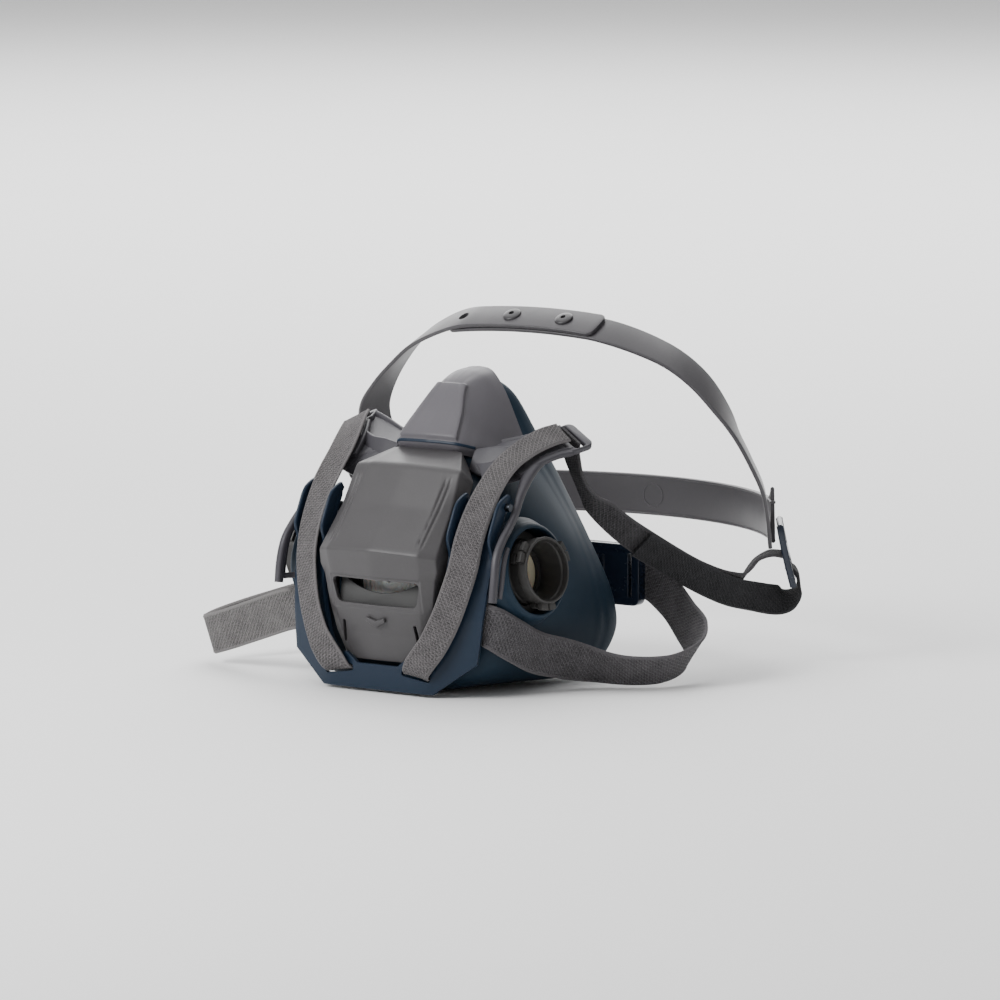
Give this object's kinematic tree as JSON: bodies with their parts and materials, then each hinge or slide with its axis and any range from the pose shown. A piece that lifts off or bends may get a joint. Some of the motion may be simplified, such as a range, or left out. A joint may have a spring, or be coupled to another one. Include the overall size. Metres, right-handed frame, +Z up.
{
  "type": "respirator",
  "caption": "Reusable half-face respirator with bayonet filter ports, front quick latch, webbing straps, neck clasp and moulded head cradle.",
  "frame": {"origin": "centre of the bounding box, on the floor plane", "axes": "+X towards the wearer's left, +Y from the front of the mask to the back of the head, +Z up"},
  "size_m": [0.2026, 0.1968, 0.1391],
  "materials": {
    "silicone": "soft matt silicone",
    "latch_plastic": "satin moulded plastic",
    "frame_plastic": "satin moulded plastic",
    "cover_plastic": "satin moulded plastic",
    "port_plastic": "satin moulded plastic",
    "webbing": "woven elastic webbing",
    "cradle_plastic": "smooth flexible moulding",
    "buckle_plastic": "glossy moulded plastic",
    "inhalation_rubber": "thin cream rubber",
    "exhalation_rubber": "thin white silicone",
    "steel": "plain pin"
  },
  "bodies": {
    "mask": {"face_seal": "silicone", "nose_shell": "frame_plastic", "center_adapter": "port_plastic", "exhalation_valve_seat": "port_plastic", "exhalation_valve_cover": "cover_plastic", "neck_buckle_receiver": "buckle_plastic", "neck_buckle_hook": "buckle_plastic", "port_left": "port_plastic", "port_boot_left": "silicone", "port_gasket_left": "silicone", "inhalation_valve_seat_left": "port_plastic", "frame_arm_left": "frame_plastic", "latch_pin_left": "steel", "neck_strap_left": "webbing", "port_right": "port_plastic", "port_boot_right": "silicone", "port_gasket_right": "silicone", "inhalation_valve_seat_right": "port_plastic", "frame_arm_right": "frame_plastic", "latch_pin_right": "steel", "neck_strap_right": "webbing"},
    "latch": {"quick_latch": "latch_plastic", "front_strap_left": "webbing", "front_strap_right": "webbing"},
    "harness": {"head_cradle": "cradle_plastic", "crown_snap_1": "cradle_plastic", "crown_snap_2": "cradle_plastic", "cradle_buckle_left": "buckle_plastic", "cradle_buckle_right": "buckle_plastic", "rear_strap_left": "webbing", "rear_strap_right": "webbing", "strap_tail_left": "webbing", "strap_tail_right": "webbing"},
    "exhalation_flap": {"exhalation_valve_flap": "exhalation_rubber"},
    "inhalation_flap_left": {"inhalation_valve_left": "inhalation_rubber"},
    "inhalation_flap_right": {"inhalation_valve_right": "inhalation_rubber"}
  },
  "joints": [
    {"name": "latch_hinge", "type": "hinge", "parent": "mask", "child": "latch", "pos_m": [0.00372, -0.0734, 0.07195], "axis": [-1, 0, 0], "range_deg": [0, 80], "deforming": ["front_strap_left", "front_strap_right"]},
    {"name": "harness_swing", "type": "hinge", "parent": "mask", "child": "harness", "pos_m": [0.00372, -0.0364, 0.09395], "axis": [1, 0, 0], "range_deg": [-8, 55], "deforming": ["rear_strap_left", "rear_strap_right", "strap_tail_left", "strap_tail_right"]},
    {"name": "exhalation_flap_lift", "type": "slide", "parent": "mask", "child": "exhalation_flap", "axis": [0, -0.9766, 0.2149], "range_m": [0, 0.0015], "stiffness_N_per_m": 20},
    {"name": "inhalation_flap_lift_left", "type": "slide", "parent": "mask", "child": "inhalation_flap_left", "axis": [-0.985, 0.084, -0.151], "range_m": [0, 0.001], "stiffness_N_per_m": 20},
    {"name": "inhalation_flap_lift_right", "type": "slide", "parent": "mask", "child": "inhalation_flap_right", "axis": [0.985, 0.084, -0.151], "range_m": [0, 0.001], "stiffness_N_per_m": 20}
  ]
}
